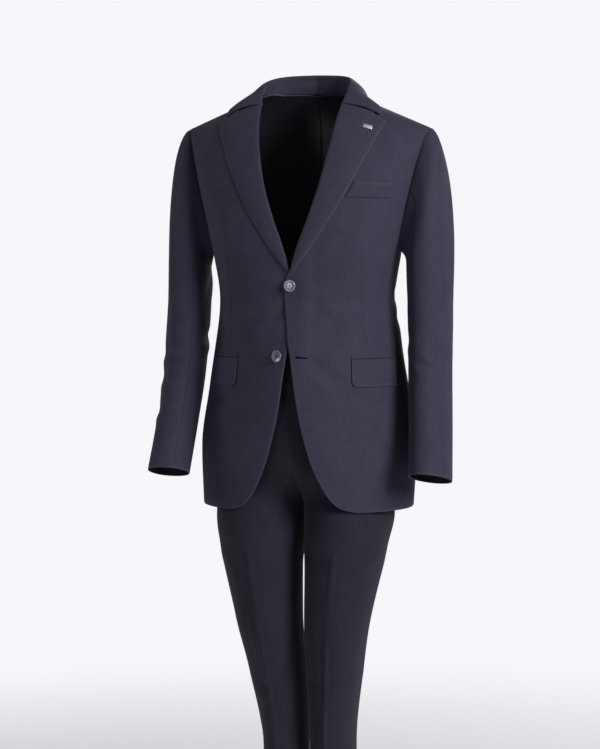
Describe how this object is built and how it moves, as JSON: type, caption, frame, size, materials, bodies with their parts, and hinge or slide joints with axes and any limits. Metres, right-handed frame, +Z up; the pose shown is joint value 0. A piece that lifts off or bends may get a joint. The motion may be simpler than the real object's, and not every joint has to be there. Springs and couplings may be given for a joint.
{
  "type": "slim fit suit, jacket and trousers",
  "caption": "Slim single-breasted notch-lapel suit jacket and matching trousers, hollow and standing as worn, in dark navy wool.",
  "frame": {"origin": "middle of the neck base, between the shoulders, where the wearer's shoulders and neck hold the suit up", "axes": "+Z up, -Y towards the suit's front, +X towards the wearer's left"},
  "size_m": [0.5356, 0.2827, 1.5169],
  "materials": {
    "suit_wool": "fine dark navy worsted wool, softly matte",
    "dark_horn": "polished dark horn-like button with a raised rim",
    "pin_steel": "plain brushed steel pin"
  },
  "bodies": {
    "root": {"breast_welt": "suit_wool", "button_lower": "dark_horn", "button_top": "dark_horn", "collar_leaf": "suit_wool", "collar_stand": "suit_wool", "jacket_back_left": "suit_wool", "jacket_back_right": "suit_wool", "jacket_front_left": "suit_wool", "jacket_front_right": "suit_wool", "jacket_side_left": "suit_wool", "jacket_side_right": "suit_wool", "lapel_left": "suit_wool", "lapel_pin": "pin_steel", "lapel_right": "suit_wool", "pocket_flap_left": "suit_wool", "pocket_flap_right": "suit_wool", "pocket_jet_left": "suit_wool", "pocket_jet_right": "suit_wool", "sleeve_under_left": "suit_wool", "sleeve_under_right": "suit_wool", "sleeve_upper_left": "suit_wool", "sleeve_upper_right": "suit_wool", "trouser_back_left": "suit_wool", "trouser_back_right": "suit_wool", "trouser_front_left": "suit_wool", "trouser_front_right": "suit_wool", "waistband": "suit_wool"}
  },
  "joints": []
}
